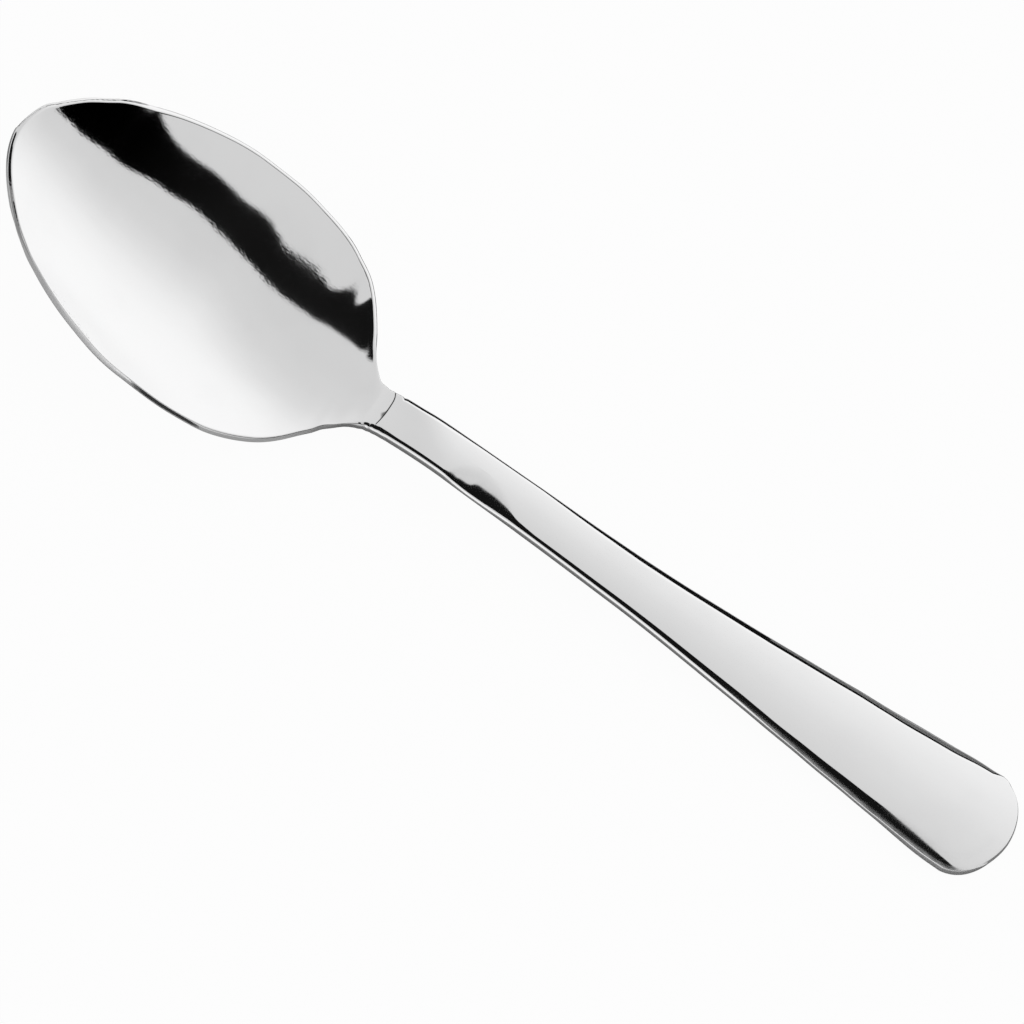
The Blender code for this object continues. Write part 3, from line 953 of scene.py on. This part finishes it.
# %% Levels of the tent
TENT_LEVELS = (  # degrees away, and the level there
    *((-90, 1.03), (-60, 1.0), (-45, 0.85), (-32, 0.72), (-24, 0.70), (0, 0.69)),
    *((8, 0.705), (16, 0.725), (22, 0.763), (26, 0.787), (30, 0.819), (34, 0.852)),
    *((38, 0.878), (42, 0.913), (46, 0.94), (52, 0.97), (58, 1.0), (66, 1.022)),
    *((74, 1.035), (80, 1.03), (85, 1.0), (88, 1.05), (90, 1.1)),
)
LEVEL_SCALE = 2.0
ANGLE_SPAN = 180.0
DIM_FROM, DIM_RATE, DIM_MOST = 4.0, 1.06, 34.0  # how much further away the levels start, over the tip
DIM_IN, DIM_OUT = (0.0, 10.0), (46.0, 68.0)  # degrees away between which that comes and goes
SIDE_DIM = 0.5  # the darker places: how much darker, and their limits along and away
SIDE_TIP_ALONG, SIDE_TIP_AWAY = (-30.0, -2.0), (-72.0, -50.0)
SIDE_END_ALONG, SIDE_END_AWAY = (14.0, 28.0), (-55.0, -35.0)
TIP_DIM = 0.62
TIP_ALONG, TIP_AWAY = (-28.0, -20.0), (-4.0, 2.0)


def angle_ramp(wire, angle, pairs, low, high):
    """A smooth curve through pairs of angle and level."""
    stops = [(pair[0] / ANGLE_SPAN + 0.5, (pair[1] - low) / (high - low)) for pair in pairs]
    place = angle * (1 / ANGLE_SPAN) + 0.5
    ramp = wire.node("ShaderNodeValToRGB", {"stops": stops}, {"Fac": place})
    ramp.socket.node.color_ramp.interpolation = "CARDINAL"
    return ramp * (high - low) + low


def tent_level(wire, along, away):
    shift = wire.math("MINIMUM", wire.math("MAXIMUM", (DIM_FROM - along) * DIM_RATE, 0.0), DIM_MOST)
    dimmed = away - shift * (1 - away.rise(*DIM_OUT)) * away.rise(*DIM_IN)
    level = angle_ramp(wire, dimmed, TENT_LEVELS, 0.0, LEVEL_SCALE)
    low = (1 - along.rise(*SIDE_TIP_ALONG)) * (1 - away.rise(*SIDE_TIP_AWAY))
    low = wire.math("MAXIMUM", low, along.rise(*SIDE_END_ALONG) * (1 - away.rise(*SIDE_END_AWAY)))
    by_tip = (1 - along.rise(*TIP_ALONG)) * (1 - away.rise(*TIP_AWAY))
    return level * (1 - wire.math("MAXIMUM", low * SIDE_DIM, by_tip * TIP_DIM))


print("levels at", len(TENT_LEVELS), "angles")

# %% The tent
SLIT_TOP = (  # degrees along, and degrees away of the slit's far line there
    *((-60, 34), (-40, 34), (-36, 24), (-32.5, 13), (-28, 13), (-24, 14), (-20, 13.8)),
    *((-16, 11.6), (-12, 9.5), (-8, 7.3), (-4, 4.5), (0, 1.9), (4, 0), (8, -2.2)),
    *((12, -3.8), (16, -4.8), (20, -5), (24, -4.1), (28, -3.5), (32, -1), (36, 1.2)),
    *((40, 2.8), (44, 4.4), (60, 4.4), (90, 4)),
)
SLIT_FOOT = (  # and of its near line
    *((-60, -4), (-34, -4), (-28, -5), (-24, -2.5), (-20.5, 3.4), (-16, 1), (-12, -2)),
    *((-8, -5.4), (0, -11.4), (4, -14.3), (8, -16.8), (12, -18), (20, -19.4), (28, -19.5)),
    *((32, -20.4), (36, -22), (40, -25), (46, -28), (90, -30)),
)
SLIT_LIMIT = 90.0
SLIT_SOFT = 0.7  # degrees
SLIT_DARK = 0.0095  # a little light is left in it towards the tip
SLIT_BLACK = (8.0, 40.0)  # degrees along over which that is lost


def dark_slit(wire, along, away):
    top = angle_ramp(wire, along, SLIT_TOP, -SLIT_LIMIT, SLIT_LIMIT)
    foot = angle_ramp(wire, along, SLIT_FOOT, -SLIT_LIMIT, SLIT_LIMIT)
    below_top = 1 - (away - top).rise(-SLIT_SOFT, SLIT_SOFT)
    slit = below_top * (away - foot).rise(-SLIT_SOFT, SLIT_SOFT)
    darkest = (1 - along.rise(*SLIT_BLACK)) * SLIT_DARK
    return 1 - slit * (1 - darkest)


def light_tent():
    world = bpy.data.worlds.new("light_tent")
    bpy.context.scene.world = world
    wire = emptied(world)
    towards = wire.node("ShaderNodeTexCoord", output="Generated")
    split = {name: wire.node("ShaderNodeSeparateXYZ", None, {0: towards}, output=name) for name in "XYZ"}
    from_top = wire.math("ARCCOSINE", split["Z"]) * math.degrees(1)
    flat = wire.math("SQRT", split["X"] * split["X"] + split["Y"] * split["Y"] + TINY)
    along = from_top * split["X"] / flat
    away = from_top * split["Y"] / flat
    level = tent_level(wire, along, away)
    shade = dark_slit(wire, along, away)
    camera_ray = wire.node("ShaderNodeLightPath", output="Is Camera Ray")
    strength = camera_ray + (1 - camera_ray) * (level * shade)
    light = wire.node("ShaderNodeBackground", None, {"Color": (1, 1, 1, 1), "Strength": strength})
    wire.node("ShaderNodeOutputWorld", None, {"Surface": light})
    print("nodes in the tent", len(world.node_tree.nodes))


light_tent()

# %% [markdown]
# The far bevel of the handle looks almost level across the table, and there the photograph has a dark
# line. A low black card stands there, as photographers do to draw an edge, with a grey foot towards the
# handle's end. A second card, on the near side and with grey ends, gives the dark stretch of the near
# rim. Dark that is painted on the steel would not move with the view. Only the mirror sees the cards.

# %% The cards
# Each is its run along X, its place along Y, its run up Z, in metres, and its grey.
CARDS = {
    "far_card": ((-0.045, 0.053), 0.035, (0.0, 0.010), 0.01),
    "far_card_end": ((0.053, 0.102), 0.035, (0.0046, 0.011), 0.01),
    "far_card_foot": ((0.053, 0.102), 0.035, (0.0, 0.0046), 0.28),
    "near_card": ((-0.0612, -0.0455), -0.040, (0.0, 0.022), 0.06),
    "near_card_left": ((-0.0632, -0.0612), -0.040, (0.0, 0.022), 0.2),
    "near_card_right": ((-0.0455, -0.0434), -0.040, (0.0, 0.022), 0.2),
}


def standing_card(name, run, stands, up, grey):
    bm = bmesh.new()
    bmesh.ops.create_grid(bm, x_segments=1, y_segments=1, size=0.5)
    for vert in bm.verts:
        x = run[0] + (run[1] - run[0]) * (vert.co.x + 0.5)
        vert.co = (x, stands, up[0] + (up[1] - up[0]) * (vert.co.y + 0.5))
    card = linked_object(name, bm)
    material = bpy.data.materials.new(name)
    wire = emptied(material)
    matt = wire.node("ShaderNodeBsdfDiffuse", None, {"Color": (grey, grey, grey, 1)})
    wire.node("ShaderNodeOutputMaterial", None, {"Surface": matt})
    card.data.materials.append(material)
    card.visible_camera = False
    card.visible_diffuse = False
    card.visible_shadow = False


for name, (run, stands, up, grey) in CARDS.items():
    standing_card(name, run, stands, up, grey)
print("cards", len(CARDS))
